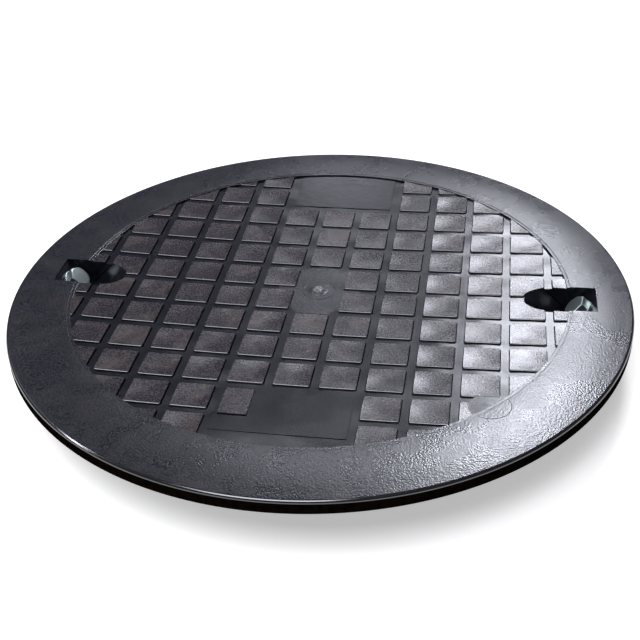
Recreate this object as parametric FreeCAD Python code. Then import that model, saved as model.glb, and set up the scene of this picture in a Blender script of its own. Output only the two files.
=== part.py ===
"""Moulded cover for a corrugated inspection riser, held down by two slanted lock bolts.

Millimetres. The origin is the centre of the spigot's lower edge, +Z is up, and the bolts lie on the X axis.
"""
import FreeCAD, Part
import math
import os

# Riser that the cover closes, and the spigot skirt that enters it
riser_bore = 315.0
spigot_clearance = 2.0
spigot_length = 11.0
spigot_lead = 1.5
spigot_relief = 1.0
skirt_depth = 28.0
skirt_wall = 4.0

# Rim around the tread, with a turned-down lip and a seat for the riser's end
rim_width = 37.0
rim_wall = 4.0
edge_height = 8.0
edge_round = 1.6
crown_height = 1.3
crown_offset = 11.0
lip_wall = 4.5
seat_width = 7.0
seat_relief = 0.8

# Dished tread of square pads
tread_setback = 6.5
border_drop = 0.2
border_step = 0.5
dish_depth = 3.1
plate_wall = 4.0
pad_pitch = 25.0
channel_width = 5.0
channel_depth = 1.0
smallest_pad_area = 6.0

# Blank insert plates behind and in front, which take the place of three columns of pads
insert_columns = 3
insert_first_row = 4
insert_height = 0.3
insert_gap = 1.0
front_insert_length = 35.0
back_insert_margin = 6.75
front_insert_margin = 4.5
date_pad_inset = 1.8
date_pad_width = 15.5
date_pad_length = 22.0

# Injection gate at the centre
gate_ring_radius = 9.5
gate_ring_height = 0.4
sprue_radius = 2.4
sprue_tip_radius = 1.5
sprue_height = 1.6

# Ribs under the channels
rib_wall = 2.5
rib_setback = 2.0

# Lock bolts and washers
bolt_diameter = 8.0
bolt_length = 20.0
bolt_point = 1.0
bolt_clearance = 0.25
hex_across_flats = 13.0
hex_height = 5.3
hex_face_diameter = 12.35
hex_chamfer_angle = 30.0
left_hex_turn = 0.0
right_hex_turn = 20.0
washer_diameter = 16.0
washer_clearance = 0.2
washer_thickness = 1.6

# Pockets that take the bolt heads and a socket spanner
pocket_reach = 9.5
pocket_length = 44.5
pocket_wall = 3.5
pocket_lip = 1.1
spanner_clearance = 4.75
seat_angle = 45.0
seat_wall = 4.0
seat_margin_above = 3.4
seat_margin_below = 1.4

# Depth by which joined features sink into each other
bury = 0.5

# Radii worked out from the sizes above
spigot_radius = riser_bore / 2 - spigot_clearance
skirt_outer = spigot_radius - spigot_relief
skirt_inner = skirt_outer - skirt_wall
tread_radius = spigot_radius - tread_setback
cover_radius = tread_radius + rim_width
crown_radius = tread_radius + crown_offset
lip_inner = cover_radius - lip_wall
seat_inner = lip_inner - seat_width
pocket_outer = spigot_radius + pocket_reach
pocket_inner = pocket_outer - pocket_length

# Levels worked out from the sizes above
edge_top = skirt_depth + edge_height
crown_top = edge_top + crown_height
rim_inner_top = crown_top - border_drop
pad_centre_top = rim_inner_top - border_step - dish_depth
under_drop = channel_depth + plate_wall
seat_level = edge_top - rim_wall
relief_level = seat_level + seat_relief
high_above = 2 * crown_top
dish_radius = (tread_radius ** 2 + dish_depth ** 2) / (2 * dish_depth)

# Places on the bolt seat, along and down its slope
pad_width = pad_pitch - channel_width
pocket_half_width = washer_diameter / 2 + spanner_clearance
seat_slope = math.radians(seat_angle)
seat_head = crown_top - pocket_lip
seat_run = seat_margin_above + washer_diameter / 2
seat_drop = (seat_run + washer_diameter / 2 + seat_margin_below) * math.sin(seat_slope)
pocket_floor = seat_head - seat_drop

UP = FreeCAD.Vector(0, 0, 1)
ORIGIN = FreeCAD.Vector(0, 0, 0)
SIDEWAYS = FreeCAD.Vector(1, 0, 0)


def point(radius, level):
    """A point of a profile in the XZ plane."""
    return FreeCAD.Vector(radius, 0, level)


def line(start, end):
    """Straight profile edge."""
    return Part.LineSegment(start, end).toShape()


def polyline(points):
    """Straight profile edges through the points in order."""
    return [line(start, end) for start, end in zip(points, points[1:])]


def polygon(points):
    """Flat face with straight sides."""
    return Part.Face(Part.Wire(polyline(points + points[:1])))


def arc(start, middle, end):
    """Round profile edge through three points."""
    return Part.Arc(start, middle, end).toShape()


def revolve(edges):
    """Solid of revolution about Z from the edges of a closed profile."""
    face = Part.Face(Part.Wire(Part.sortEdges(edges)[0]))
    return face.revolve(ORIGIN, UP, 360)


def block(x_low, x_high, y_low, y_high):
    """Upright box from the ground to well above the cover."""
    corner = FreeCAD.Vector(x_low, y_low, 0)
    return Part.makeBox(x_high - x_low, y_high - y_low, high_above, corner)


def mirrored(shape):
    """The left-hand copy of a right-hand shape."""
    return shape.mirror(ORIGIN, SIDEWAYS)


def dish_point(radius, drop):
    """Point of the dished tread, part of a large ball, at a depth below the pad tops."""
    rise = dish_radius - math.sqrt(dish_radius ** 2 - radius ** 2)
    return point(radius, pad_centre_top - drop + rise)


def dish_edge(radius, drop):
    """Arc of the dish from the axis out to a radius."""
    return arc(dish_point(0, drop), dish_point(radius / 2, drop), dish_point(radius, drop))


def dished_layer(radius, top_drop, bottom_drop):
    """Round layer between two dished faces."""
    return revolve([dish_edge(radius, top_drop),
                    dish_edge(radius, bottom_drop),
                    line(dish_point(0, top_drop), dish_point(0, bottom_drop)),
                    line(dish_point(radius, top_drop), dish_point(radius, bottom_drop))])


def space_below(radius, top_drop):
    """Round space under a dished face, down to the lower edge of the ribs."""
    rim = dish_point(radius, top_drop)
    sides = [rim, point(radius, rib_setback), point(0, rib_setback), dish_point(0, top_drop)]
    return revolve([dish_edge(radius, top_drop)] + polyline(sides))


def make_shell():
    """Plate up to the channel floor, border rim, lip and skirt as one turned body."""
    underside = [dish_point(skirt_inner, under_drop),
                 point(skirt_inner, 0),
                 point(spigot_radius - spigot_lead, 0),
                 point(spigot_radius, spigot_lead),
                 point(spigot_radius, spigot_length),
                 point(skirt_outer, spigot_length + spigot_relief),
                 point(skirt_outer, relief_level),
                 point(seat_inner, relief_level),
                 point(seat_inner, seat_level),
                 point(lip_inner, seat_level),
                 point(lip_inner, skirt_depth),
                 point(cover_radius, skirt_depth),
                 point(cover_radius, edge_top - edge_round)]
    round_cut = edge_round * (1 - math.sqrt(0.5))
    round_middle = point(cover_radius - round_cut, edge_top - round_cut)
    round_end = point(cover_radius - edge_round, edge_top)
    border_top = point(tread_radius, rim_inner_top)
    edges = polyline(underside)
    edges.append(arc(underside[-1], round_middle, round_end))
    edges.append(arc(round_end, point(crown_radius, crown_top), border_top))
    edges.append(line(border_top, dish_point(tread_radius, channel_depth)))
    edges.append(dish_edge(tread_radius, channel_depth))
    edges.append(line(dish_point(0, channel_depth), dish_point(0, under_drop)))
    edges.append(dish_edge(skirt_inner, under_drop))
    return revolve(edges)


def is_bare(column, row):
    """Whether a pad's place is taken by the gate or by an insert plate."""
    gate = column == 0 and row in (-1, 0)
    beside_middle = abs(column) <= insert_columns // 2
    return gate or (beside_middle and not -insert_first_row <= row < insert_first_row)


def make_pads():
    """Square tread pads, cut off by the border circle."""
    layer = dished_layer(tread_radius + bury / 2, 0, channel_depth + bury)
    reach = int(tread_radius / pad_pitch) + 1
    half = pad_width / 2
    places = [(column, row) for column in range(-reach, reach + 1) for row in range(-reach, reach)]
    pads = []
    for column, row in places:
        x = column * pad_pitch
        y = (row + 0.5) * pad_pitch
        nearest = math.hypot(max(abs(x) - half, 0), max(abs(y) - half, 0))
        if is_bare(column, row) or nearest >= tread_radius:
            continue
        pad = block(x - half, x + half, y - half, y + half).common(layer)
        if pad.Volume > smallest_pad_area * channel_depth:
            pads.append(pad)
    return pads


def make_inserts():
    """Blank insert plates behind, up to the border, and in front, with the small raised pad in the front one."""
    clear_half = ((insert_columns + 1) * pad_pitch - pad_width) / 2
    near = insert_first_row * pad_pitch + channel_width / 2 + insert_gap
    far = near + front_insert_length
    skin = dished_layer(tread_radius + bury / 2, channel_depth - insert_height, channel_depth + bury)
    pad_skin = dished_layer(tread_radius, 0, channel_depth + bury)
    back_half = clear_half - back_insert_margin
    front_half = clear_half - front_insert_margin
    date_left = date_pad_inset - front_half
    back = block(-back_half, back_half, near, cover_radius)
    front = block(-front_half, front_half, -far, -near)
    date_pad = block(date_left, date_left + date_pad_width, -near - date_pad_length, -near)
    return [back.common(skin), front.common(skin), date_pad.common(pad_skin)]


def make_gate():
    """Low round boss at the centre with the broken stub of the sprue."""
    boss_foot = dish_point(0, channel_depth + bury)
    boss_height = bury + gate_ring_height
    boss = Part.makeCylinder(gate_ring_radius, boss_height, boss_foot)
    stub = Part.makeCone(sprue_radius, sprue_tip_radius, boss_height + sprue_height, boss_foot)
    return [boss, stub]


def make_ribs():
    """Square grid of ribs under the channels."""
    space = space_below(skirt_inner + bury, under_drop - bury)
    reach = int(skirt_inner / pad_pitch) + 1
    half = rib_wall / 2
    far = skirt_outer
    ribs = []
    for index in range(-reach, reach + 1):
        y = index * pad_pitch
        x = (index + 0.5) * pad_pitch
        if abs(y) < skirt_inner - rib_wall:
            ribs.append(block(-far, far, y - half, y + half).common(space))
        if abs(x) < skirt_inner - rib_wall:
            ribs.append(block(x - half, x + half, -far, far).common(space))
    return ribs


def seat_frame():
    """Centre of the right bolt's seat and the direction from it up and inwards along the bolt."""
    centre = point(pocket_outer - seat_run * math.cos(seat_slope), seat_head - seat_run * math.sin(seat_slope))
    outward = FreeCAD.Vector(-math.sin(seat_slope), 0, math.cos(seat_slope))
    return centre, outward


def pocket_form(wall, behind_seat, top):
    """Right pocket grown by a wall: a round scoop sunk at the seat's angle, a flat floor and the seat."""
    half = pocket_half_width + wall
    floor = pocket_floor - wall
    outer = pocket_outer + wall
    slope_rise = math.tan(seat_slope)
    slope_at_outer = seat_head + (wall - behind_seat / math.sin(seat_slope)) * slope_rise
    slope_foot = outer - (slope_at_outer - floor) / slope_rise
    scoop_mouth = point(pocket_inner + pocket_half_width / math.sin(seat_slope), crown_top)
    inner = scoop_mouth.x - 2 * half / math.sin(seat_slope)
    shift = FreeCAD.Vector(0, -half, 0)
    span = FreeCAD.Vector(0, 2 * half, 0)
    seat_side = [point(outer, top), point(outer, slope_at_outer), point(slope_foot, floor)]
    envelope = polygon([point(inner, top)] + seat_side + [point(inner, floor)])
    trough = polygon([point(scoop_mouth.x, top)] + seat_side + [point(scoop_mouth.x, floor)])
    down_and_out = FreeCAD.Vector(math.cos(seat_slope), 0, -math.sin(seat_slope))
    scoop = Part.makeCylinder(half, 2 * high_above, scoop_mouth - down_and_out * high_above, down_and_out)
    scoop = scoop.common(envelope.translated(shift).extrude(span))
    return scoop.fuse(trough.translated(shift).extrude(span)).removeSplitter()


def make_cover():
    """The whole moulding, with the pockets and the bolt holes cut out of it."""
    rim_inside = crown_top - rim_wall / 2
    pocket_shell = pocket_form(pocket_wall, seat_wall, rim_inside)
    pocket_shell = pocket_shell.common(space_below(cover_radius, channel_depth + bury))
    pocket = pocket_form(0, 0, high_above)
    centre, outward = seat_frame()
    hole_radius = bolt_diameter / 2 + bolt_clearance
    hole = Part.makeCylinder(hole_radius, bolt_length + seat_wall, centre + outward * seat_wall, -outward)
    upper = make_shell().multiFuse(make_pads() + make_inserts() + make_gate())
    moulding = upper.multiFuse(make_ribs() + [pocket_shell, mirrored(pocket_shell)])
    return moulding.cut([pocket, mirrored(pocket), hole, mirrored(hole)]).removeSplitter()


def make_washer():
    """Right washer on its seat."""
    centre, outward = seat_frame()
    disc = Part.makeCylinder(washer_diameter / 2, washer_thickness, centre, outward)
    hole = Part.makeCylinder(bolt_diameter / 2 + washer_clearance, washer_thickness, centre, outward)
    return disc.cut(hole)


def make_bolt(hex_turn):
    """Right bolt with its head on the washer and its hexagon turned about the bolt's axis."""
    corner_radius = hex_across_flats / 2 / math.cos(math.pi / 6)
    directions = [math.radians(hex_turn + 60 * side) for side in range(6)]
    corners = [FreeCAD.Vector(math.cos(way), math.sin(way), 0) * corner_radius for way in directions]
    hexagon = polygon(corners).extrude(UP * hex_height)
    chamfer_spread = hex_height / math.tan(math.radians(hex_chamfer_angle))
    chamfer = Part.makeCone(hex_face_diameter / 2 + chamfer_spread, hex_face_diameter / 2, hex_height)
    shank_radius = bolt_diameter / 2
    shank = Part.makeCylinder(shank_radius, bolt_length - bolt_point + bury, UP * (bolt_point - bolt_length))
    point_end = Part.makeCone(shank_radius - bolt_point, shank_radius, bolt_point, UP * -bolt_length)
    bolt = hexagon.common(chamfer).fuse([shank, point_end]).removeSplitter()
    centre, outward = seat_frame()
    bolt.Placement = FreeCAD.Placement(centre + outward * washer_thickness, FreeCAD.Rotation(UP, outward))
    return bolt


parts = {
    "cover": make_cover(),
    "left_lock_bolt": mirrored(make_bolt(left_hex_turn)),
    "right_lock_bolt": make_bolt(right_hex_turn),
    "left_washer": mirrored(make_washer()),
    "right_washer": make_washer(),
}
os.makedirs("parts", exist_ok=True)
for name, shape in parts.items():
    shape.exportStep(f"parts/{name}.step")
    print(name, shape.isValid(), len(shape.Solids), len(shape.Faces), round(shape.Volume, 1))
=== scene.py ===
"""Looks of a moulded drainage pipe cover that is held down by two slanted lock bolts.

Sizes are in millimetres, and each mesh is scaled to metres when it is finished. +Z is up, the bolts lie on
the X axis, and -Y is the side that faces the camera.
"""

import logging
import math
import random
from collections.abc import Callable, Iterable, Sequence
from dataclasses import dataclass, field
from enum import Enum

import bmesh
import bpy
from mathutils import Matrix, Vector, noise


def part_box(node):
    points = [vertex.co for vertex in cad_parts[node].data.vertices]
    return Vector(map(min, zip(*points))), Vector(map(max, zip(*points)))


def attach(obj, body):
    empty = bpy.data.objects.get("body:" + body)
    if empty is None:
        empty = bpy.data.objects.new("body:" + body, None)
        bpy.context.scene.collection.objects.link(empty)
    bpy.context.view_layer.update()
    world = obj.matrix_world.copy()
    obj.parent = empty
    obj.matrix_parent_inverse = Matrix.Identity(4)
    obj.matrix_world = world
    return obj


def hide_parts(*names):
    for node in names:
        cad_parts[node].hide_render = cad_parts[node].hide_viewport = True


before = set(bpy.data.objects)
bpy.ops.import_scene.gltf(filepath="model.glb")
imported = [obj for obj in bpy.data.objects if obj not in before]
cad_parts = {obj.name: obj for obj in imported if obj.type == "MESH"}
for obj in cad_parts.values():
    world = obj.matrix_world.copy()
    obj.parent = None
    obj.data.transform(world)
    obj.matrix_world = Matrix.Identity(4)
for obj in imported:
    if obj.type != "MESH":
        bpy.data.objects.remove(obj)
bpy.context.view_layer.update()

LOG = logging.getLogger("cover")
MM = 0.001
BODY = "root"
MERGE_DISTANCE = 1e-4
CLEARANCE = 1.0  # how far a cutting or trimming form stands clear of the piece

Shell = bmesh.types.BMesh


class Side(Enum):
    """The two lock bolts, told apart by the sign of their X."""

    LEFT = -1
    RIGHT = 1

    @property
    def label(self) -> str:
        """Word that starts the names of this side's pieces."""
        return self.name.lower()


class Join(Enum):
    """How one closed shell is worked into another."""

    WELD = "UNION"
    CUT = "DIFFERENCE"
    TRIM = "INTERSECT"


@dataclass(frozen=True)
class Corner:
    """Corner of an outline: its distance from the axis, its level and the radius that rounds it."""

    out: float
    up: float
    rounding: float = 0.0


@dataclass(frozen=True)
class Dish:
    """Shallow hollow of the tread, part of a large ball."""

    edge_radius: float
    depth: float
    centre_top: float

    @property
    def ball_radius(self) -> float:
        """Radius of the ball that the dish is part of."""
        return (self.edge_radius ** 2 + self.depth ** 2) / (2 * self.depth)

    def level(self, out: float, drop: float = 0.0) -> float:
        """Find the level of the dish, or of a layer below it.

        Args:
            out: Distance from the axis.
            drop: Depth below the tops of the pads.

        Returns:
            The level above the ground.
        """
        rise = self.ball_radius - math.sqrt(self.ball_radius ** 2 - out ** 2)
        return self.centre_top - drop + rise

    def corners(self, start: float, end: float, drop: float, spans: int) -> list[Corner]:
        """Follow the dish from one distance to another.

        Args:
            start: First distance from the axis.
            end: Last distance from the axis.
            drop: Depth below the tops of the pads.
            spans: Number of straight spans.

        Returns:
            The corners along the dish, both ends included.
        """
        places = [start + (end - start) * step / spans for step in range(spans + 1)]
        return [Corner(out, self.level(out, drop)) for out in places]


def arc_corners(start: Corner, middle: Corner, end: Corner, spans: int) -> list[Corner]:
    """Follow the arc through three corners.

    Args:
        start: First corner.
        middle: A corner on the arc between the two ends.
        end: Last corner.
        spans: Number of straight spans.

    Returns:
        The corners along the arc, both ends included.
    """
    chord_a = Vector((middle.out - start.out, middle.up - start.up))
    chord_b = Vector((end.out - start.out, end.up - start.up))
    cross = 2 * chord_a.cross(chord_b)
    centre = Vector((chord_b.y * chord_a.length_squared - chord_a.y * chord_b.length_squared,
                     chord_a.x * chord_b.length_squared - chord_b.x * chord_a.length_squared)) / cross
    turn = math.atan2((-centre).cross(chord_b - centre), (-centre).dot(chord_b - centre))
    corners = []
    for step in range(spans + 1):
        spoke = Matrix.Rotation(turn * step / spans, 2) @ -centre
        corners.append(Corner(start.out + centre.x + spoke.x, start.up + centre.y + spoke.y))
    return corners


def rounded(corners: Sequence[Corner], closed: bool = False, steps: int = 4) -> list[Vector]:
    """Draw an outline with an arc in place of each rounded corner.

    Args:
        corners: The outline's corners in order.
        closed: Whether the last corner joins the first.
        steps: Spans in each arc.

    Returns:
        The points of the outline in the XZ plane.
    """
    places = [Vector((corner.out, 0.0, corner.up)) for corner in corners]
    points = []
    for index, corner in enumerate(corners):
        at_end = not closed and index in (0, len(corners) - 1)
        if at_end or corner.rounding == 0:
            points.append(places[index])
            continue
        before = (places[index - 1] - places[index]).normalized()
        after = (places[(index + 1) % len(places)] - places[index]).normalized()
        half_angle = before.angle(after) / 2
        centre = places[index] + (before + after).normalized() * corner.rounding / math.sin(half_angle)
        tangent = corner.rounding / math.tan(half_angle)
        first = (places[index] + before * tangent - centre).normalized()
        last = (places[index] + after * tangent - centre).normalized()
        points += [centre + first.slerp(last, step / steps) * corner.rounding for step in range(steps + 1)]
    return points


def turned(points: Sequence[Vector], steps: int, closed: bool = False) -> Shell:
    """Spin an outline once round the Z axis.

    Args:
        points: The outline, from axis to axis or closed.
        steps: Number of steps in the full turn.
        closed: Whether the last point joins the first.

    Returns:
        The closed shell.
    """
    bm = bmesh.new()
    verts = [bm.verts.new(place) for place in points]
    ends = verts[1:] + verts[:1] if closed else verts[1:]
    edges = [bm.edges.new(pair) for pair in zip(verts, ends)]
    bmesh.ops.spin(bm, geom=verts + edges, cent=(0, 0, 0), axis=(0, 0, 1), dvec=(0, 0, 0),
                   angle=math.tau, steps=steps, use_merge=True)
    bmesh.ops.remove_doubles(bm, verts=bm.verts, dist=MERGE_DISTANCE)
    bmesh.ops.recalc_face_normals(bm, faces=bm.faces)
    return bm


def prism(corners: Sequence[Corner], half_width: float) -> Shell:
    """Extrude an outline in the XZ plane along Y, to both sides alike.

    Args:
        corners: The closed outline, where a corner's distance is its X.
        half_width: Reach along Y to each side.

    Returns:
        The closed shell.
    """
    bm = bmesh.new()
    face = bm.faces.new([bm.verts.new((corner.out, -half_width, corner.up)) for corner in corners])
    moved = bmesh.ops.extrude_face_region(bm, geom=[face], use_keep_orig=True)["geom"]
    far_verts = [item for item in moved if isinstance(item, bmesh.types.BMVert)]
    bmesh.ops.translate(bm, verts=far_verts, vec=(0, 2 * half_width, 0))
    bmesh.ops.recalc_face_normals(bm, faces=bm.faces)
    return bm


def box(low: Sequence[float], high: Sequence[float], bm: Shell | None = None) -> Shell:
    """Add an upright box between two corners.

    Args:
        low: Lowest corner.
        high: Highest corner.
        bm: Mesh to add the box to, or None for a new one.

    Returns:
        The mesh with the box.
    """
    bm = bm or bmesh.new()
    size = Vector(high) - Vector(low)
    middle = (Vector(high) + Vector(low)) / 2
    verts = bmesh.ops.create_cube(bm, size=1.0)["verts"]
    bmesh.ops.scale(bm, vec=size, verts=verts)
    bmesh.ops.translate(bm, vec=middle, verts=verts)
    return bm


def rod(radius: float, length: float, place: Matrix, segments: int) -> Shell:
    """Make a plain rod along the Z axis of a place, from its origin upwards.

    Args:
        radius: Outside radius.
        length: Length along the axis.
        place: Where the rod's foot stands and which way it points.
        segments: Sides of the rod.

    Returns:
        The closed shell.
    """
    bm = bmesh.new()
    stand = place @ Matrix.Translation((0, 0, length / 2))
    bmesh.ops.create_cone(bm, cap_ends=True, segments=segments, radius1=radius, radius2=radius,
                          depth=length, matrix=stand)
    return bm


def add_mirrored(bm: Shell) -> None:
    """Add the left-hand copy of a right-hand shell that lies clear of the YZ plane."""
    bmesh.ops.mirror(bm, geom=bm.verts[:] + bm.edges[:] + bm.faces[:], axis="X", merge_dist=-1.0)
    bmesh.ops.recalc_face_normals(bm, faces=bm.faces)


def discard(piece: bpy.types.Object) -> None:
    """Remove an object that is used up, with its mesh.

    Args:
        piece: The object.
    """
    mesh = piece.data
    bpy.data.objects.remove(piece)
    bpy.data.meshes.remove(mesh)


def shell_object(name: str, bm: Shell) -> bpy.types.Object:
    """Turn a closed shell into an object.

    Args:
        name: Name of the object.
        bm: The shell, which is freed.

    Returns:
        The object, in the scene.
    """
    mesh = bpy.data.meshes.new(name)
    bm.to_mesh(mesh)
    bm.free()
    piece = bpy.data.objects.new(name, mesh)
    bpy.context.scene.collection.objects.link(piece)
    return piece


def work(base: bpy.types.Object, bm: Shell, how: Join) -> None:
    """Weld a closed shell to an object, cut it out of it, or trim the object to it.

    Args:
        base: Object that keeps the result.
        bm: The other shell, which is used up.
        how: What is done with it.
    """
    tool = shell_object("tool", bm)
    step = base.modifiers.new(how.name, "BOOLEAN")
    step.object = tool
    step.operation = how.value
    step.solver = "MANIFOLD"
    graph = bpy.context.evaluated_depsgraph_get()
    result = bpy.data.meshes.new_from_object(base.evaluated_get(graph))
    base.modifiers.remove(step)
    spent = base.data
    base.data = result
    bpy.data.meshes.remove(spent)
    discard(tool)


def combined(bm: Shell, other: Shell, how: Join) -> Shell:
    """Work one shell into another and give the result back as a mesh to go on with.

    Args:
        bm: First shell, which is used up.
        other: Second shell, which is used up.
        how: What is done with the second shell.

    Returns:
        The worked shell.
    """
    blank = shell_object("blank", bm)
    work(blank, other, how)
    result = bmesh.new()
    result.from_mesh(blank.data)
    discard(blank)
    return result


def trimmed(bm: Shell, limit: Shell) -> Shell:
    """Keep what one shell shares with another, both of which are used up."""
    return combined(bm, limit, Join.TRIM)


def finish_piece(piece: bpy.types.Object, name: str, sharp_angle: float) -> None:
    """Scale a finished mesh to metres and shade it smooth up to its sharp edges.

    Args:
        piece: The finished object.
        name: Name of the piece.
        sharp_angle: Angle in degrees from which an edge is drawn sharp.
    """
    piece.name = name
    piece.data.name = name
    piece.data.transform(Matrix.Scale(MM, 4))
    piece.data.shade_smooth()
    piece.data.set_sharp_from_angle(angle=math.radians(sharp_angle))


def linear(hex_colour: str) -> tuple[float, float, float, float]:
    """Turn an sRGB hex value into linear colour.

    Args:
        hex_colour: The colour as # and six hex digits.

    Returns:
        Red, green, blue and full alpha.
    """
    channels = [int(hex_colour[start:start + 2], 16) / 255 for start in (1, 3, 5)]
    values = [c / 12.92 if c <= 0.04045 else ((c + 0.055) / 1.055) ** 2.4 for c in channels]
    return (values[0], values[1], values[2], 1.0)


def bare_material(name: str) -> bpy.types.Material:
    """Make a material with an empty node tree.

    Args:
        name: Name of the material.

    Returns:
        The material.
    """
    material = bpy.data.materials.new(name)
    material.use_nodes = True
    material.node_tree.nodes.clear()
    return material


def add_node(tree: bpy.types.NodeTree, kind: str, inputs: dict | None = None,
             **settings: object) -> bpy.types.Node:
    """Add a node with its settings and links.

    Args:
        tree: Node tree of the material or world.
        kind: Blender's name of the node type.
        inputs: Value or linked socket for each input, by the input's name or place.
        **settings: Values for the node's own properties.

    Returns:
        The node.
    """
    node = tree.nodes.new(kind)
    for name, value in settings.items():
        setattr(node, name, value)
    for key, value in (inputs or {}).items():
        if isinstance(value, bpy.types.NodeSocket):
            tree.links.new(value, node.inputs[key])
        else:
            node.inputs[key].default_value = value
    return node


@dataclass(frozen=True)
class Polypropylene:
    """Black polypropylene, injection moulded: a dark, slightly waxy plastic that shows its tool's surface.

    The grain's hollows keep the plastic's own black, and its peaks, rubbed and dusty, have a paler colour.
    """

    name: str
    hollow_colour: str
    peak_colour: str
    roughness: float
    grain_size: float
    grain_depth: float
    gloss: float = 0.5
    lathe_marks: bool = False
    lathe_wander: float = 3.0
    lathe_detail: float = 2.0
    peaks_between: tuple[float, float] = (0.35, 0.65)
    film: float = 0.03
    film_size: float = 22.0
    film_detail: float = 3.0
    film_swirl: float = 0.8
    film_between: tuple[float, float] = (0.3, 0.7)
    dust: float = 0.0
    dust_between: tuple[float, float] = (0.48, 0.7)
    dust_colour: str = "#6e6259"
    ior: float = 1.58

    def material(self) -> bpy.types.Material:
        """Make the plastic's material with the grain that its tool left in it.

        Returns:
            The material, with a thin film of handling and dust over the grain.
        """
        material = bare_material(self.name)
        tree = material.node_tree
        place = add_node(tree, "ShaderNodeTexCoord").outputs["Object"]
        if self.lathe_marks:
            # At a scale of 1 the wave texture's rings are pi / 10 apart.
            grain = add_node(tree, "ShaderNodeTexWave",
                             {"Vector": place, "Scale": math.pi / (10 * self.grain_size * MM),
                              "Distortion": self.lathe_wander, "Detail": self.lathe_detail},
                             wave_type="RINGS", rings_direction="Z").outputs["Fac"]
        else:
            # Without finer detail, which would be smoothed away in the render.
            grain = add_node(tree, "ShaderNodeTexNoise",
                             {"Vector": place, "Scale": 1 / (self.grain_size * MM),
                              "Detail": 0.0}).outputs["Fac"]
        bump = add_node(tree, "ShaderNodeBump",
                        {"Height": grain, "Strength": 1.0, "Distance": self.grain_depth * MM})
        peaks = add_node(tree, "ShaderNodeMapRange",
                         {"Value": grain, "From Min": self.peaks_between[0],
                          "From Max": self.peaks_between[1]})
        tint = add_node(tree, "ShaderNodeMix",
                        {"Factor": peaks.outputs["Result"], 6: linear(self.hollow_colour),
                         7: linear(self.peak_colour)}, data_type="RGBA")
        clouds = add_node(tree, "ShaderNodeTexNoise",
                          {"Vector": place, "Scale": 1 / (self.film_size * MM), "Detail": self.film_detail,
                           "Distortion": self.film_swirl}).outputs["Fac"]
        rough = add_node(tree, "ShaderNodeMapRange",
                         {"Value": clouds, "From Min": self.film_between[0],
                          "From Max": self.film_between[1], "To Min": self.roughness - self.film,
                          "To Max": self.roughness + self.film})
        settled = add_node(tree, "ShaderNodeMapRange",
                           {"Value": clouds, "From Min": self.dust_between[0],
                            "From Max": self.dust_between[1], "To Max": self.dust})
        dusty = add_node(tree, "ShaderNodeMix",
                         {"Factor": settled.outputs["Result"], 6: tint.outputs[2],
                          7: linear(self.dust_colour)}, data_type="RGBA")
        shader = add_node(tree, "ShaderNodeBsdfPrincipled",
                          {"Base Color": dusty.outputs[2], "Roughness": rough.outputs["Result"],
                           "IOR": self.ior, "Specular IOR Level": self.gloss,
                           "Normal": bump.outputs["Normal"]})
        add_node(tree, "ShaderNodeOutputMaterial", {"Surface": shader.outputs["BSDF"]})
        return material


@dataclass(frozen=True)
class ZincPlate:
    """Bright zinc plate on steel: pale, slightly blue and softly mirrored."""

    name: str
    colour: str
    roughness: float
    cloud_size: float
    cloud_depth: float = 0.02
    cloud_detail: float = 4.0
    cloudiness: float = 0.08

    def material(self) -> bpy.types.Material:
        """Make the plate's material with its soft clouds of brighter and duller metal.

        Returns:
            The material.
        """
        material = bare_material(self.name)
        tree = material.node_tree
        place = add_node(tree, "ShaderNodeTexCoord").outputs["Object"]
        clouds = add_node(tree, "ShaderNodeTexNoise",
                          {"Vector": place, "Scale": 1 / (self.cloud_size * MM),
                           "Detail": self.cloud_detail}).outputs["Fac"]
        gloss = add_node(tree, "ShaderNodeMapRange",
                         {"Value": clouds, "To Min": self.roughness - self.cloudiness,
                          "To Max": self.roughness + self.cloudiness})
        bump = add_node(tree, "ShaderNodeBump", {"Height": clouds, "Distance": self.cloud_depth * MM})
        shader = add_node(tree, "ShaderNodeBsdfPrincipled",
                          {"Base Color": linear(self.colour), "Metallic": 1.0,
                           "Roughness": gloss.outputs["Result"], "Normal": bump.outputs["Normal"]})
        add_node(tree, "ShaderNodeOutputMaterial", {"Surface": shader.outputs["BSDF"]})
        return material


class Surface(Enum):
    """The cover's surfaces, told apart by how their part of the tool was finished, in slot order."""

    RIM = 0
    PAD = 1
    SMOOTH = 2
    EDGE = 3
    # WALL is painted shade: near-black walls without shine.
    WALL = 4
    GATE = 5
    # STUB is pale grey, a painted highlight on the broken sprue.
    STUB = 6


@dataclass
class BoltSeat:
    """Slanted seat of a lock bolt, with the washer's and the bolt's place on it."""

    side: Side
    angle: float = 45.0
    washer_diameter: float = 16.0
    washer_thickness: float = 1.6
    centre: Vector = field(init=False)

    def __post_init__(self) -> None:
        """Find the seat under the middle of its washer."""
        low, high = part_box(f"{self.side.label}_washer")
        middle = (low + high) / (2 * MM)
        self.centre = middle - self.outward * self.washer_thickness / 2

    @property
    def outward(self) -> Vector:
        """Direction from the seat up and inwards along the bolt."""
        slope = math.radians(self.angle)
        return Vector((-self.side.value * math.sin(slope), 0, math.cos(slope)))

    def place(self, height: float) -> Matrix:
        """Find the frame on the bolt's axis whose Z points away from the seat.

        Args:
            height: Distance from the seat along the axis.

        Returns:
            The frame, with its X up the slope.
        """
        slope = math.radians(self.angle)
        uphill = Vector((self.side.value * math.cos(slope), 0, math.sin(slope)))
        across = self.outward.cross(uphill)
        turn = Matrix((uphill, across, self.outward)).transposed().to_4x4()
        return Matrix.Translation(self.centre + self.outward * height) @ turn


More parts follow.
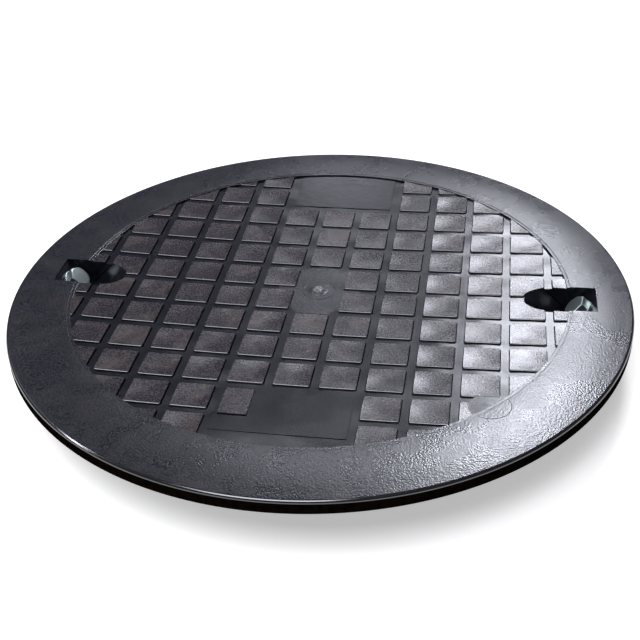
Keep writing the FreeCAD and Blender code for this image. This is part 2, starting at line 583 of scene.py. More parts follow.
@dataclass
class MouldedCover:
    """The black moulding: border rim, dished tread, bolt pockets, spigot skirt and ribs in one closed mesh.

    The sizes whose names end in limit are shares of a face's normal, and tell the tool's surfaces apart.
    Forms that are welded together reach into each other by the size named bury.
    """

    seat: BoltSeat
    spigot_radius: float = 155.5
    spigot_length: float = 11.0
    spigot_lead: float = 1.5
    spigot_relief: float = 1.0
    skirt_depth: float = 28.0
    skirt_wall: float = 4.0
    foot_round: float = 0.5
    lead_round: float = 0.4
    spigot_round: float = 0.3
    root_round: float = 0.6
    rim_width: float = 37.0
    rim_wall: float = 4.0
    edge_round: float = 1.6
    crown_height: float = 1.3
    crown_offset: float = 11.0
    crown_spans: int = 14
    lip_wall: float = 4.5
    lip_root_round: float = 0.8
    lip_limit: float = 0.1
    seat_width: float = 7.0
    seat_relief: float = 0.8
    seat_round: float = 0.2
    border_drop: float = 0.2
    border_step: float = 0.5
    border_round: float = 0.2
    land_width: float = 1.8
    land_step: float = 0.25
    dish_depth: float = 3.1
    dish_spans: int = 8
    underside_spans: int = 6
    plate_wall: float = 4.0
    pad_pitch: float = 25.0
    channel_width: float = 5.0
    channel_depth: float = 1.0
    pad_corner: float = 1.0
    pad_edge: float = 0.12
    front_round: float = 0.85
    front_limit: float = -0.2
    roll_shares: tuple[float, ...] = (0.3, 0.65, 1.0)
    top_shares: tuple[float, ...] = (0.4, 0.7)
    # The wide draft lets the pads' sides show from above. Drawn in the painted-shade wall finish, they make
    # dark lines of shade round each pad.
    pad_draft: float = 0.8
    pad_sink: float = 0.4
    pad_sink_spread: float = 0.3
    pad_sink_seed: int = 7
    floor_cell: float = 2.5
    floor_wall: float = 1.2
    floor_sink: float = 0.15
    floor_wave: float = 0.12
    floor_wave_size: float = 18.0
    smallest_pad_reach: float = 1.0
    flat_limit: float = 0.97
    steep_limit: float = 0.45
    floor_share: float = 0.6
    insert_first_row: int = 4
    insert_height: float = 0.3
    insert_gap: float = 1.0
    insert_length: float = 35.0
    insert_round: float = 0.2
    insert_cuts: int = 3
    back_insert_spare: float = 15.0
    back_insert_half: float = 33.25
    front_insert_half: float = 35.5
    raised_pad_inset: float = 1.8
    raised_pad_width: float = 15.5
    raised_pad_length: float = 22.0
    mark_angles: tuple[float, ...] = (-45.0, 86.0)
    mark_radius: float = 11.0
    mark_line: float = 0.35
    mark_depth: float = 0.2
    gate_reach: float = 26.0
    gate_limit: float = 0.25
    gate_rise: float = 0.1
    gate_ring_radius: float = 9.5
    gate_bead_width: float = 0.6
    gate_bead_height: float = 0.2
    gate_bead_round: float = 0.2
    mound_radius: float = 5.2
    mound_height: float = 0.6
    mound_slope: float = 0.6
    mound_round: float = 0.3
    sprue_radius: float = 3.2
    sprue_height: float = 1.5
    sprue_fullness: int = 3
    sprue_shares: tuple[float, ...] = (1.0, 0.85, 0.7, 0.55, 0.4, 0.25, 0.1, 0.0)
    sprue_break: float = 0.8
    sprue_break_scale: float = 0.8
    rib_wall: float = 2.5
    rib_setback: float = 2.0
    bolt_hole_radius: float = 4.25
    bolt_hole_reach: float = 20.0
    pocket_reach: float = 9.5
    pocket_length: float = 44.5
    pocket_wall: float = 3.5
    pocket_lip: float = 1.1
    pocket_half_width: float = 12.75
    pocket_floor: float = 21.49
    seat_wall: float = 4.0
    bury: float = 0.5
    turn_steps: int = 288
    pocket_steps: int = 96
    small_steps: int = 64
    hole_steps: int = 48
    cover_radius: float = field(init=False)
    crown_top: float = field(init=False)
    edge_top: float = field(init=False)
    tread_radius: float = field(init=False)
    rim_inner_top: float = field(init=False)
    skirt_outer: float = field(init=False)
    skirt_inner: float = field(init=False)
    under_drop: float = field(init=False)
    dish: Dish = field(init=False)

    def __post_init__(self) -> None:
        """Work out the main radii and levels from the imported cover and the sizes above."""
        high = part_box("cover")[1] / MM
        self.cover_radius = high.x
        self.crown_top = high.z
        self.edge_top = self.crown_top - self.crown_height
        self.tread_radius = self.cover_radius - self.rim_width
        self.rim_inner_top = self.crown_top - self.border_drop
        self.skirt_outer = self.spigot_radius - self.spigot_relief
        self.skirt_inner = self.skirt_outer - self.skirt_wall
        self.under_drop = self.channel_depth + self.plate_wall
        centre_top = self.rim_inner_top - self.border_step - self.dish_depth
        self.dish = Dish(self.tread_radius, self.dish_depth, centre_top)

    def shell(self) -> Shell:
        """Turn the plate, rim, lip and skirt as one body.

        Returns:
            The closed shell.
        """
        seat_level = self.edge_top - self.rim_wall
        relief_level = seat_level + self.seat_relief
        lip_inner = self.cover_radius - self.lip_wall
        seat_inner = lip_inner - self.seat_width
        underside = self.dish.corners(0, self.skirt_inner, self.under_drop, self.underside_spans)
        skirt = [Corner(self.skirt_inner, 0, self.foot_round),
                 Corner(self.spigot_radius - self.spigot_lead, 0, self.lead_round),
                 Corner(self.spigot_radius, self.spigot_lead, self.lead_round),
                 Corner(self.spigot_radius, self.spigot_length, self.spigot_round),
                 Corner(self.skirt_outer, self.spigot_length + self.spigot_relief),
                 Corner(self.skirt_outer, relief_level, self.root_round),
                 Corner(seat_inner, relief_level),
                 Corner(seat_inner, seat_level, self.seat_round),
                 Corner(lip_inner, seat_level, self.lip_root_round),
                 Corner(lip_inner, self.skirt_depth, self.lead_round),
                 Corner(self.cover_radius, self.skirt_depth, self.foot_round),
                 Corner(self.cover_radius, self.edge_top, self.edge_round)]
        crown = arc_corners(Corner(self.cover_radius - self.edge_round, self.edge_top),
                            Corner(self.tread_radius + self.crown_offset, self.crown_top),
                            Corner(self.tread_radius, self.rim_inner_top), self.crown_spans)
        land_top = self.rim_inner_top - self.land_step
        land = [Corner(self.tread_radius + self.land_width, self.rim_inner_top, self.border_round),
                Corner(self.tread_radius + self.land_width, land_top),
                Corner(self.tread_radius, land_top, self.border_round)]
        floor = self.dish.corners(self.tread_radius, 0, self.channel_depth + self.bury, self.dish_spans)
        return turned(rounded(underside + skirt + crown[1:-1] + land + floor), self.turn_steps)

    def tread_floor(self) -> Shell:
        """Make the channel floor, which sank a little over the crossings of the ribs as it cooled.

        Returns:
            The closed shell, trimmed to the tread.
        """
        bm = bmesh.new()
        reach = math.ceil(self.tread_radius / self.pad_pitch) * self.pad_pitch
        cells = round(2 * reach / self.floor_cell)
        bmesh.ops.create_grid(bm, x_segments=cells, y_segments=cells, size=reach)
        lower = bmesh.ops.extrude_face_region(bm, geom=bm.faces[:], use_keep_orig=True)["geom"]
        lower_verts = [item for item in lower if isinstance(item, bmesh.types.BMVert)]
        bmesh.ops.translate(bm, verts=lower_verts, vec=(0, 0, -self.floor_wall))
        for vert in bm.verts:
            x, y = vert.co.xy
            is_top = vert.co.z > -self.floor_wall / 2
            vert.co.z += self.dish.level(vert.co.xy.length, self.channel_depth)
            if is_top:
                beside_x = 0.5 - 0.5 * math.cos(math.tau * x / self.pad_pitch)
                beside_y = 0.5 + 0.5 * math.cos(math.tau * y / self.pad_pitch)
                wave = noise.noise(Vector((x, y, 0)) / self.floor_wave_size)
                vert.co.z += self.floor_wave * wave - self.floor_sink * beside_x * beside_y
        bmesh.ops.recalc_face_normals(bm, faces=bm.faces)
        return trimmed(bm, self.border())

    def border(self) -> Shell:
        """Make the upright round form that everything on the tread is trimmed to."""
        radius = self.tread_radius + self.bury / 2
        return rod(radius, 2 * self.crown_top, Matrix.Identity(4), self.turn_steps)

    def lay_on_dish(self, bm: Shell) -> None:
        """Lift a mesh that is set out from level 0, so that it follows the tops of the pads."""
        for vert in bm.verts:
            vert.co.z += self.dish.level(vert.co.xy.length)

    def is_bare(self, column: int, row: int) -> bool:
        """Tell whether a pad's place is taken by the gate or by an insert plate."""
        gate = column == 0 and row in (-1, 0)
        return gate or (abs(column) <= 1 and not -self.insert_first_row <= row < self.insert_first_row)

    def pad_lines(self) -> list[float]:
        """Set out the lines of a pad's mesh, close together where its edges are rounded.

        Returns:
            The lines' distances from the pad's middle, in order.
        """
        half = (self.pad_pitch - self.channel_width) / 2
        rolled = [self.front_round * share for share in self.roll_shares]
        top = [half * share for share in self.top_shares]
        side = [half - step for step in (0.0, self.pad_edge, *rolled, *top)]
        return [-place for place in side] + [0.0] + side[::-1]

    def add_pad(self, bm: Shell, x: float, y: float, sink: float) -> None:
        """Add one tread pad with drafted sides, a rolled front edge and a slightly sunk top.

        Args:
            bm: Mesh that the pad joins.
            x: The pad's middle along X.
            y: The pad's middle along Y.
            sink: Depth by which the top's middle shrank as it cooled.
        """
        pad = bmesh.new()
        lines = self.pad_lines()
        half = lines[-1]
        straight = half - self.pad_corner
        middle = len(lines) // 2
        bmesh.ops.create_grid(pad, x_segments=2 * middle, y_segments=2 * middle, size=middle)
        for vert in pad.verts:
            place = Vector((lines[round(vert.co.x) + middle], lines[round(vert.co.y) + middle]))
            from_edge = half - max(abs(place.x), abs(place.y))
            over = Vector((max(abs(place.x) - straight, 0), max(abs(place.y) - straight, 0)))
            if min(over) > 0:
                over *= max(over) / over.length
                place = Vector((math.copysign(straight + over.x, place.x),
                                math.copysign(straight + over.y, place.y)))
            across = 1 - (place.x / half) ** 2
            along = 1 - (place.y / half) ** 2
            short = max(0.0, self.front_round - (place.y + half))
            roll = self.front_round - math.sqrt(self.front_round ** 2 - short ** 2)
            vert.co = (*place, -sink * across * along - roll - max(0.0, self.pad_edge - from_edge))
        outline = [edge for edge in pad.edges if edge.is_boundary]
        for item in bmesh.ops.extrude_edge_only(pad, edges=outline)["geom"]:
            if isinstance(item, bmesh.types.BMVert):
                item.co.xy *= 1 + self.pad_draft / half
                item.co.z = -self.channel_depth - 2 * self.bury
        bmesh.ops.holes_fill(pad, edges=pad.edges)
        bmesh.ops.recalc_face_normals(pad, faces=pad.faces)
        bmesh.ops.translate(pad, verts=pad.verts, vec=(x, y, 0))
        self.lay_on_dish(pad)
        spare = bpy.data.meshes.new("pad")
        pad.to_mesh(spare)
        pad.free()
        bm.from_mesh(spare)
        bpy.data.meshes.remove(spare)

    def pads(self) -> Shell:
        """Set out the tread pads and cut them off at the border circle.

        Returns:
            The closed shells of all pads.
        """
        bm = bmesh.new()
        draws = random.Random(self.pad_sink_seed)
        reach = int(self.tread_radius / self.pad_pitch) + 1
        half = (self.pad_pitch - self.channel_width) / 2
        for column in range(-reach, reach + 1):
            for row in range(-reach, reach):
                x = column * self.pad_pitch
                y = (row + 0.5) * self.pad_pitch
                nearest = math.hypot(max(abs(x) - half, 0), max(abs(y) - half, 0))
                sink = self.pad_sink * draws.uniform(1 - self.pad_sink_spread, 1 + self.pad_sink_spread)
                if not self.is_bare(column, row) and nearest < self.tread_radius - self.smallest_pad_reach:
                    self.add_pad(bm, x, y, sink)
        return trimmed(bm, self.border())

    def slab(self, low: tuple[float, float], high: tuple[float, float], drop: float) -> Shell:
        """Make a thin plate that follows the dish.

        Args:
            low: Lowest X and Y.
            high: Highest X and Y.
            drop: Depth of its top below the pads.

        Returns:
            The closed shell, sunk into the channel floor.
        """
        foot = self.channel_depth + self.bury
        bm = box((*low, -foot), (*high, -drop))
        top_edges = [edge for edge in bm.edges if min(vert.co.z for vert in edge.verts) > -foot]
        upright = [edge for edge in bm.edges
                   if abs(edge.verts[0].co.z - edge.verts[1].co.z) > MERGE_DISTANCE]
        bmesh.ops.bevel(bm, geom=upright + top_edges, offset=self.insert_round, offset_type="OFFSET",
                        segments=2, profile=0.5, affect="EDGES", clamp_overlap=True, material=-1)
        bmesh.ops.subdivide_edges(bm, edges=bm.edges[:], cuts=self.insert_cuts, use_grid_fill=True)
        self.lay_on_dish(bm)
        return bm

    def space_below(self, out: float, drop: float) -> Shell:
        """Make the round space under a layer of the dish, down to the ribs' lower edge."""
        floor = [Corner(0, self.rib_setback), Corner(out, self.rib_setback)]
        return turned(rounded(floor + self.dish.corners(out, 0, drop, self.dish_spans)), self.turn_steps)

    def ribs(self, along_x: bool) -> Shell:
        """Make the ribs that run one way under the channels.

        Args:
            along_x: Whether they run along X, else along Y.

        Returns:
            The closed shells, trimmed to the space inside the skirt.
        """
        bm = bmesh.new()
        reach = int(self.skirt_inner / self.pad_pitch) + 1
        half = self.rib_wall / 2
        far = self.skirt_outer
        top = self.crown_top
        for index in range(-reach, reach + 1):
            place = (index if along_x else index + 0.5) * self.pad_pitch
            if abs(place) < self.skirt_inner - self.rib_wall:
                low = (-far, place - half, 0) if along_x else (place - half, -far, 0)
                high = (far, place + half, top) if along_x else (place + half, far, top)
                box(low, high, bm)
        return trimmed(bm, self.space_below(self.skirt_inner + self.bury, self.under_drop - self.bury))

    def pocket_form(self, wall: float, behind_seat: float, top: float) -> Shell:
        """Make the right pocket grown by a wall: a slanted round scoop, a flat floor and the seat.

        Args:
            wall: Growth to the sides, the floor and the outer end.
            behind_seat: Growth behind the seat.
            top: Level at which the form ends.

        Returns:
            The closed shell.
        """
        slope = math.radians(self.seat.angle)
        half = self.pocket_half_width + wall
        floor = self.pocket_floor - wall
        pocket_outer = self.spigot_radius + self.pocket_reach
        outer = pocket_outer + wall
        seat_shift = (wall - behind_seat / math.sin(slope)) * math.tan(slope)
        at_outer = self.crown_top - self.pocket_lip + seat_shift
        slope_foot = outer - (at_outer - floor) / math.tan(slope)
        mouth = pocket_outer - self.pocket_length + self.pocket_half_width / math.sin(slope)
        inner = mouth - 2 * half / math.sin(slope)
        seat_side = [Corner(outer, top), Corner(outer, at_outer), Corner(slope_foot, floor)]
        envelope = prism([Corner(inner, top)] + seat_side + [Corner(inner, floor)], half)
        meet_level = (self.crown_top + at_outer - (outer - mouth) * math.tan(slope)) / 2
        meet = Corner(outer - (at_outer - meet_level) / math.tan(slope), meet_level)
        trough = prism([Corner(mouth, top)] + seat_side[:2] + [meet, Corner(mouth, self.crown_top)], half)
        reach = 4 * self.crown_top
        turn = Matrix.Rotation(math.pi / 2 + slope, 4, "Y")
        stand = (Matrix.Translation((mouth, 0, self.crown_top)) @ turn
                 @ Matrix.Translation((0, 0, -reach / 2)))
        scoop = trimmed(rod(half, reach, stand, self.pocket_steps), envelope)
        return combined(scoop, trough, Join.WELD)

    def build(self) -> bpy.types.Object:
        """Join everything that was moulded together and cut the pockets and bolt holes.

        Returns:
            The bare cover, in millimetres.
        """
        cover = shell_object("cover_blank", self.shell())
        for along_x in (True, False):
            work(cover, self.ribs(along_x), Join.WELD)
        walls_top = self.crown_top - self.rim_wall / 2
        under_tread = self.space_below(self.cover_radius, self.channel_depth + self.bury)
        pocket_walls = trimmed(self.pocket_form(self.pocket_wall, self.seat_wall, walls_top), under_tread)
        add_mirrored(pocket_walls)
        work(cover, pocket_walls, Join.WELD)
        work(cover, self.tread_floor(), Join.WELD)
        work(cover, self.pads(), Join.WELD)
        for insert in self.inserts():
            work(cover, insert, Join.WELD)
        work(cover, self.gate(), Join.WELD)
        for angle in self.mark_angles:
            work(cover, self.mark_ring(self.mark_centre(angle)), Join.CUT)
        work(cover, self.mark_disc(self.mark_centre(self.mark_angles[0])), Join.WELD)
        pocket = self.pocket_form(0, 0, 2 * self.crown_top)
        add_mirrored(pocket)
        work(cover, pocket, Join.CUT)
        hole = rod(self.bolt_hole_radius, self.bolt_hole_reach + self.seat_wall,
                   self.seat.place(-self.bolt_hole_reach), self.hole_steps)
        add_mirrored(hole)
        work(cover, hole, Join.CUT)
        return cover

    def inserts(self) -> list[Shell]:
        """Make the blank insert plates and the small raised pad in the front one.

        Returns:
            Their closed shells.
        """
        near = self.insert_first_row * self.pad_pitch + self.channel_width / 2 + self.insert_gap
        far = near + self.insert_length
        drop = self.channel_depth - self.insert_height
        back_half = self.back_insert_half
        front_half = self.front_insert_half
        pad_left = self.raised_pad_inset - front_half
        pad_right = pad_left + self.raised_pad_width
        back = self.slab((-back_half, near), (back_half, far + self.back_insert_spare), drop)
        front = self.slab((-front_half, -far), (front_half, -near), drop)
        raised_pad = self.slab((pad_left, -near - self.raised_pad_length), (pad_right, -near), 0)
        return [trimmed(back, self.border()), front, raised_pad]

    def mark_centre(self, angle: float) -> Vector:
        """Find the middle of a round plug's mark on the border of the tread, at an angle in degrees."""
        turn = math.radians(angle)
        return Vector((math.cos(turn), math.sin(turn))) * self.tread_radius

    def mark_disc(self, centre: Vector) -> Shell:
        """Make the smooth disc that a round plug of the tool left across the border of the tread.

        Args:
            centre: Middle of the disc.

        Returns:
            The part of it that lies on the tread.
        """
        stand = Matrix.Translation((*centre.xy, -self.mark_depth - 2 * self.channel_depth))
        bm = rod(self.mark_radius, 2 * self.channel_depth, stand, self.small_steps)
        self.lay_on_dish(bm)
        return trimmed(bm, self.border())

    def mark_ring(self, centre: Vector) -> Shell:
        """Make the form of the fine groove that a round plug of the tool left on the rim.

        Args:
            centre: Middle of the ring.

        Returns:
            The closed shell, to be cut out.
        """
        top = self.crown_top
        low = top - self.mark_depth - self.border_drop / 2
        middle = self.mark_radius - self.mark_line / 2
        outline = [Corner(self.mark_radius - self.mark_line, top), Corner(middle, low),
                   Corner(self.mark_radius, top), Corner(middle, top + CLEARANCE)]
        bm = turned(rounded(outline, closed=True), self.small_steps, closed=True)
        bmesh.ops.translate(bm, verts=bm.verts, vec=(*centre.xy, 0))
        return bm

    def gate(self) -> Shell:
        """Make the low round boss at the centre with the broken stub of the sprue.

        Returns:
            The closed shell, sunk into the channel floor.
        """
        foot = self.dish.level(0, self.channel_depth + self.bury)
        base = foot + self.bury
        flat = base + self.gate_rise
        bead_top = base + self.gate_bead_height
        mound_top = base + self.mound_height
        bead_outer = self.gate_ring_radius + self.gate_bead_width / 2
        bead_inner = self.gate_ring_radius - self.gate_bead_width / 2
        outline = [Corner(0, foot), Corner(bead_outer, foot),
                   Corner(bead_outer, bead_top, self.gate_bead_round),
                   Corner(bead_inner, bead_top, self.gate_bead_round),
                   Corner(bead_inner, flat), Corner(self.mound_radius, flat),
                   Corner(self.mound_radius - self.mound_slope, mound_top, self.mound_round)]
        stub = [Corner(self.sprue_radius * share,
                       mound_top + self.sprue_height * (1 - share ** self.sprue_fullness))
                for share in self.sprue_shares]
        bm = turned(rounded(outline + stub), self.small_steps)
        for vert in bm.verts:
            if vert.co.xy.length < self.sprue_radius and vert.co.z > mound_top:
                vert.co.z += noise.noise(vert.co * self.sprue_break_scale) * self.sprue_break
        return bm

    def surface_at(self, centre: Vector, normal: Vector) -> Surface:
        """Tell which finish of the tool a face has.

        Args:
            centre: Middle of the face.
            normal: Direction that the face looks in.

        Returns:
            The surface that the face belongs to.
        """
        out = centre.xy.length
        lowest_floor = self.dish.level(0, self.channel_depth)
        on_rim = out > self.tread_radius - self.bury
        on_floor = centre.z < self.dish.level(out, self.floor_share * self.channel_depth)
        on_plug = (centre.xy - self.mark_centre(self.mark_angles[0])).length < self.mark_radius
        if out > self.cover_radius - self.edge_round:
            # Below the edge, the outer side wall gets the painted-shade black wall finish.
            return Surface.EDGE if normal.z > self.lip_limit else Surface.WALL
        # The sprue's stub gets the pale finish, a painted highlight.
        if out < self.sprue_radius and centre.z > lowest_floor + self.mound_height:
            return Surface.STUB
        if out < self.gate_reach and normal.z > self.gate_limit and on_floor:
            return Surface.GATE
        if centre.z < lowest_floor:
            return Surface.SMOOTH
        # Steep faces on the tread, such as the pads' sides, get the painted-shade black wall finish, which
        # draws dark lines of shade round the pads.
        if normal.z < self.steep_limit:
            return Surface.SMOOTH if on_rim else Surface.WALL
        if on_rim:
            on_step = normal.z < self.flat_limit and out < self.tread_radius + self.land_width + self.bury
            return Surface.EDGE if on_step else Surface.RIM
        if on_plug or on_floor:
            return Surface.SMOOTH
        if normal.z > self.flat_limit:
            return Surface.PAD
        return Surface.EDGE if normal.y < self.front_limit else Surface.SMOOTH

    def make(self) -> bpy.types.Object:
        """Build the cover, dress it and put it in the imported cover's place.

        Returns:
            The finished cover.
        """
        cover = self.build()
        cover.data.materials.clear()
        for finish in (RIM_GRAIN, PAD_GRAIN, TOOL_SMOOTH, EDGE_SMOOTH, SIDE_WALL, FACED_GATE, TORN_STUB):
            cover.data.materials.append(finish.material())
        for face in cover.data.polygons:
            face.material_index = self.surface_at(face.center, face.normal).value
        finish_piece(cover, "moulded_cover", sharp_angle=40)
        evened = cover.modifiers.new("flat_faces_lead", "WEIGHTED_NORMAL")
        evened.keep_sharp = True
        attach(cover, BODY)
        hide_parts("cover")
        return cover


# A spark-eroded tool leaves small pits all over: the rim glitters where it mirrors a lamp and is a dull
# black elsewhere. The real grain is too fine to show in the render, so it is drawn about 1 mm wide.
RIM_GRAIN = Polypropylene("spark_eroded_polypropylene", "#0d0d0f", "#2c2c31", roughness=0.28,
                          grain_size=0.95, grain_depth=0.105, dust=0.05)
# An etched tool leaves a shallow grain that holds dust: the pads are soft, a little brown and paler than
# the channels. This grain is drawn as coarse as it needs to show too.
PAD_GRAIN = Polypropylene("etched_polypropylene", "#191618", "#3a3437", roughness=0.25,
                          grain_size=1.0, grain_depth=0.03, dust=0.25)
# A milled tool leaves hardly any grain: channels and plates are dark, with long, slightly wavy reflections.
TOOL_SMOOTH = Polypropylene("milled_tool_polypropylene", "#0c0d11", "#131419", roughness=0.22,
                            grain_size=5.0, grain_depth=0.03, gloss=0.4)
# Turned and hand-finished corners of the tool are its glossiest places, and give the edges thin light lines.
EDGE_SMOOTH = Polypropylene("turned_tool_polypropylene", "#0f0f10", "#121213", roughness=0.14,
                            grain_size=3.0, grain_depth=0.005, gloss=1.0)
# The steep walls are drawn nearly black, faintly brown and without shine. This is painted shade: it stands
# in for the dark, shaded ground that the outer side wall mirrors, and it draws dark lines of shade round the
# feet of the pads.
SIDE_WALL = Polypropylene("painted_shade_polypropylene", "#080503", "#0e0a07", roughness=0.4,
                          grain_size=3.0, grain_depth=0.02, gloss=0.0)
# Round the gate the tool was faced on a lathe, which leaves faint rings. They are drawn coarse, to show.
FACED_GATE = Polypropylene("faced_tool_polypropylene", "#0d0d10", "#2c2b2f", roughness=0.26,
                           grain_size=2.0, grain_depth=0.03, lathe_marks=True)
# Where the sprue was sheared off, the plastic is ragged. Its pale grey is a painted highlight, which stands
# in for the bright light that the broken lump catches.
TORN_STUB = Polypropylene("sheared_polypropylene", "#2c2c2e", "#9a9a9c", roughness=0.4,
                          grain_size=1.2, grain_depth=0.1)
# Zinc plate on steel is pale and faintly blue, and mirrors softly, brighter and duller in turn.
BRIGHT_ZINC = ZincPlate("bright_zinc_plate", "#a4aeab", roughness=0.38, cloud_size=2.0)


@dataclass
class Fastener:
    """A zinc-plated piece that sits on a bolt seat."""

    seat: BoltSeat

    def fit(self, bm: Shell, height: float, name: str, node: str, sharp_angle: float) -> bpy.types.Object:
        """Put a shell in its place over the seat and dress it.

        Args:
            bm: The shell, upright on the origin, which is used up.
            height: Distance of its foot from the seat.
            name: Name of the piece, without its side.
            node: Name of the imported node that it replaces, without its side.
            sharp_angle: Angle in degrees from which an edge is drawn sharp.

        Returns:
            The finished piece.
        """
        side = self.seat.side.label
        bmesh.ops.transform(bm, matrix=self.seat.place(height), verts=bm.verts)
        piece = shell_object(name, bm)
        finish_piece(piece, f"{side}_{name}", sharp_angle)
        piece.data.materials.append(BRIGHT_ZINC.material())
        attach(piece, BODY)
        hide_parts(f"{side}_{node}")
        return piece


@dataclass
class Washer(Fastener):
    """Plain stamped washer: rolled over at one edge and sharper at the other."""

    hole_radius: float = 4.2
    under_round: float = 0.1
    rolled_round: float = 0.35
    hole_round: float = 0.2
    turn_steps: int = 96

    def make(self) -> bpy.types.Object:
        """Build the washer on its seat and dress it.

        Returns:
            The finished washer.
        """
        radius = self.seat.washer_diameter / 2
        thick = self.seat.washer_thickness
        outline = [Corner(self.hole_radius, 0, self.under_round),
                   Corner(radius, 0, self.under_round),
                   Corner(radius, thick, self.rolled_round),
                   Corner(self.hole_radius, thick, self.hole_round)]
        bm = turned(rounded(outline, closed=True), self.turn_steps, closed=True)
        return self.fit(bm, 0.0, "plain_washer", "washer", sharp_angle=40)


@dataclass
class LockBolt(Fastener):
    """Hexagon bolt with a chamfered head and a rolled thread."""

    hex_turn: float
    diameter: float = 8.0
    length: float = 20.0
    point: float = 1.0
    neck: float = 0.5
    plain_length: float = 1.5
    thread_pitch: float = 1.25
    thread_depth: float = 0.75
    thread_rings: int = 6
    thread_steps: int = 48
    across_flats: float = 13.0
    head_height: float = 5.3
    face_diameter: float = 12.35
    face_round: float = 0.3
    chamfer_angle: float = 30.0
    head_steps: int = 96
    hex_sides: int = 6

    def head(self) -> Shell:
        """Make the hexagon head with its turned chamfer.

        Returns:
            The closed shell, with its underside at the origin.
        """
        half_side = math.pi / self.hex_sides
        corner_radius = self.across_flats / 2 / math.cos(half_side)
        spin = Matrix.Rotation(math.radians(self.hex_turn) + half_side, 4, "Z")
        hexagon = rod(corner_radius, self.head_height, spin, self.hex_sides)
        fall = math.tan(math.radians(self.chamfer_angle))
        face_radius = self.face_diameter / 2
        outline = [Corner(0, -CLEARANCE), Corner(2 * corner_radius, -CLEARANCE),
                   Corner(2 * corner_radius, self.head_height - (2 * corner_radius - face_radius) * fall),
                   Corner(face_radius, self.head_height, self.face_round), Corner(0, self.head_height)]
        return trimmed(hexagon, turned(rounded(outline), self.head_steps))

    def shank(self) -> Shell:
        """Make the threaded shank, with its thread drawn as a helical wave in a rod.

        Returns:
            The closed shell, which reaches into the head by its neck.
        """
        rings = int(self.length / self.thread_pitch * self.thread_rings)
        radius = self.diameter / 2
        sides = [Corner(radius, -self.length + (self.length + self.neck) * ring / rings)
                 for ring in range(rings + 1)]
        outline = [Corner(0, -self.length)] + sides + [Corner(0, self.neck)]
        bm = turned(rounded(outline), self.thread_steps)
        for vert in bm.verts:
            out = vert.co.xy.length
            if out < radius / 2:
                continue
            turn = math.atan2(vert.co.y, vert.co.x) / math.tau
            wave = abs(2 * ((vert.co.z / self.thread_pitch - turn) % 1) - 1)
            point_cut = max(0.0, self.point - (vert.co.z + self.length))
            fade = min(1.0, max(0.0, (-self.plain_length - vert.co.z) / self.thread_pitch))
            vert.co.xy *= min(radius - self.thread_depth * wave * fade, radius - point_cut) / out
        return bm

    def make(self) -> bpy.types.Object:
        """Build the bolt on its washer and dress it.

        Returns:
            The finished bolt.
        """
        bm = combined(self.head(), self.shank(), Join.WELD)
        return self.fit(bm, self.seat.washer_thickness, "hexagon_bolt", "lock_bolt", sharp_angle=25)


@dataclass(frozen=True)
class Lamp:
    """A soft lamp that faces the middle of the cover: where it hangs, its size in metres and its power.

    Its bearing is counted from +Y towards +X, and its turn about its own axis, both in degrees.
    """

    name: str
    bearing: float
    elevation: float
    width: float
    height: float
    watts: float
    distance: float = 2.0
    turn: float = 0.0
    colour: str = "#f1f4ff"

    def add(self) -> None:
        """Put the lamp in the scene."""
        light = bpy.data.lights.new(self.name, "AREA")
        light.shape = "RECTANGLE"
        light.size = self.width
        light.size_y = self.height
        light.energy = self.watts
        light.color = linear(self.colour)[:3]
        lamp = bpy.data.objects.new(self.name, light)
        lamp.matrix_world = (Matrix.Rotation(math.radians(-self.bearing), 4, "Z")
                             @ Matrix.Rotation(math.radians(self.elevation - 90), 4, "X")
                             @ Matrix.Translation((0, 0, self.distance))
                             @ Matrix.Rotation(math.radians(self.turn), 4, "Z"))
        bpy.context.scene.collection.objects.link(lamp)


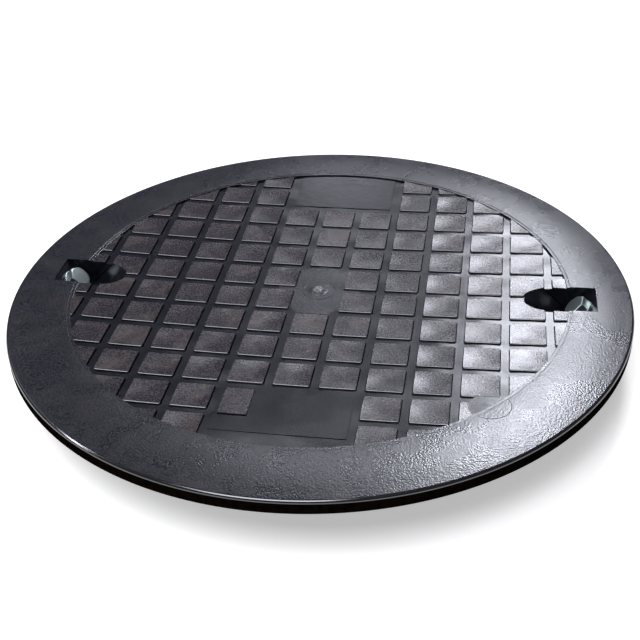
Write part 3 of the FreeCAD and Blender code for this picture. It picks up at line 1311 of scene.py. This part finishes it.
@dataclass
class Studio:
    """Pale floor, soft lamps and the camera at the photograph's angle."""

    floor_half: float = 6.0
    floor_colour: str = "#f1eee5"
    floor_glow: float = 0.45
    floor_mirrored: float = 0.2
    world_colour: str = "#e2e5ff"
    world_strength: float = 0.12
    backdrop_colour: str = "#ffffff"
    camera_place: tuple[float, float, float] = (0.0929, -0.5256, 0.3744)
    azimuth: float = 10.02
    elevation: float = 34.27
    roll: float = -2.10
    lens: float = 58.33
    sensor_width: float = 36.0

    def add_floor(self) -> None:
        """Lay the floor that the spigot stands on."""
        bm = bmesh.new()
        bmesh.ops.create_grid(bm, x_segments=1, y_segments=1, size=self.floor_half)
        floor = shell_object("floor", bm)
        # Matt pale paint: the camera sees it near white, and the cover's shadow stays on it.
        material = bare_material("pale_floor")
        tree = material.node_tree
        shader = add_node(tree, "ShaderNodeBsdfDiffuse", {"Color": linear(self.floor_colour)})
        ray = add_node(tree, "ShaderNodeLightPath")
        mirrored = add_node(tree, "ShaderNodeMath",
                            {0: ray.outputs["Is Glossy Ray"], 1: self.floor_mirrored}, operation="MULTIPLY")
        level = add_node(tree, "ShaderNodeMath",
                         {0: ray.outputs["Is Camera Ray"], 1: self.floor_glow, 2: mirrored.outputs["Value"]},
                         operation="MULTIPLY_ADD")
        glow = add_node(tree, "ShaderNodeEmission", {"Strength": level.outputs["Value"]})
        both = add_node(tree, "ShaderNodeAddShader",
                        {0: shader.outputs["BSDF"], 1: glow.outputs["Emission"]})
        add_node(tree, "ShaderNodeOutputMaterial", {"Surface": both.outputs["Shader"]})
        floor.data.materials.append(material)

    def add_world(self) -> None:
        """Fill the space around with an even pale light, and show the camera a white backdrop."""
        world = bpy.data.worlds.new("studio_room")
        world.use_nodes = True
        tree = world.node_tree
        tree.nodes.clear()
        fill = add_node(tree, "ShaderNodeBackground",
                        {"Color": linear(self.world_colour), "Strength": self.world_strength})
        backdrop = add_node(tree, "ShaderNodeBackground",
                            {"Color": linear(self.backdrop_colour), "Strength": 1.0})
        ray = add_node(tree, "ShaderNodeLightPath")
        room = add_node(tree, "ShaderNodeMixShader",
                        {0: ray.outputs["Is Camera Ray"], 1: fill.outputs["Background"],
                         2: backdrop.outputs["Background"]})
        add_node(tree, "ShaderNodeOutputWorld", {"Surface": room.outputs["Shader"]})
        bpy.context.scene.world = world

    def add_camera(self) -> None:
        """Stand the camera where the photograph was taken from."""
        lens = bpy.data.cameras.new("photo_camera")
        lens.lens = self.lens
        lens.sensor_width = self.sensor_width
        camera = bpy.data.objects.new("photo_camera", lens)
        turn = (Matrix.Rotation(math.radians(self.azimuth), 4, "Z")
                @ Matrix.Rotation(math.radians(90 - self.elevation), 4, "X")
                @ Matrix.Rotation(math.radians(self.roll), 4, "Z"))
        camera.matrix_world = Matrix.Translation(self.camera_place) @ turn
        bpy.context.scene.collection.objects.link(camera)
        bpy.context.scene.camera = camera

    def build(self, lamps: Iterable[Lamp]) -> None:
        """Set up floor, room, lamps and camera.

        Args:
            lamps: The lamps to hang.
        """
        self.add_floor()
        self.add_world()
        for lamp in lamps:
            lamp.add()
        self.add_camera()
        bpy.context.scene.view_settings.view_transform = "Standard"


LAMPS = (
    Lamp("key_softbox", bearing=13, elevation=46, width=0.36, height=0.36, watts=17.5),
    Lamp("low_softbox", bearing=7, elevation=34, width=0.3, height=0.2, watts=4.2),
    Lamp("low_left_softbox", bearing=-8, elevation=27, width=0.25, height=0.15, watts=0.6),
    Lamp("left_softbox", bearing=-60, elevation=35, width=0.6, height=0.6, watts=0.8),
    Lamp("small_left_softbox", bearing=-14, elevation=47, width=0.3, height=0.15, watts=2.0),
    Lamp("overhead_strip", bearing=203, elevation=66, width=0.95, height=1.2, watts=26.0, distance=1.8,
         turn=25),
    Lamp("left_strip", bearing=-92, elevation=38, width=0.12, height=1.5, watts=13.0, turn=46),
)


def main() -> None:
    """Build the cover, its bolts and washers, and the studio around them."""
    logging.basicConfig(level=logging.INFO, format="%(name)s: %(message)s")
    seats = {side: BoltSeat(side) for side in Side}
    builders: list[Callable[[], bpy.types.Object]] = [
        MouldedCover(seats[Side.RIGHT]).make,
        LockBolt(seats[Side.LEFT], hex_turn=0.0).make,
        LockBolt(seats[Side.RIGHT], hex_turn=20.0).make,
        Washer(seats[Side.LEFT]).make,
        Washer(seats[Side.RIGHT]).make,
    ]
    for build in builders:
        piece = build()
        LOG.info("%s: %d faces", piece.name, len(piece.data.polygons))
    Studio().build(LAMPS)


if __name__ == "__main__":
    main()
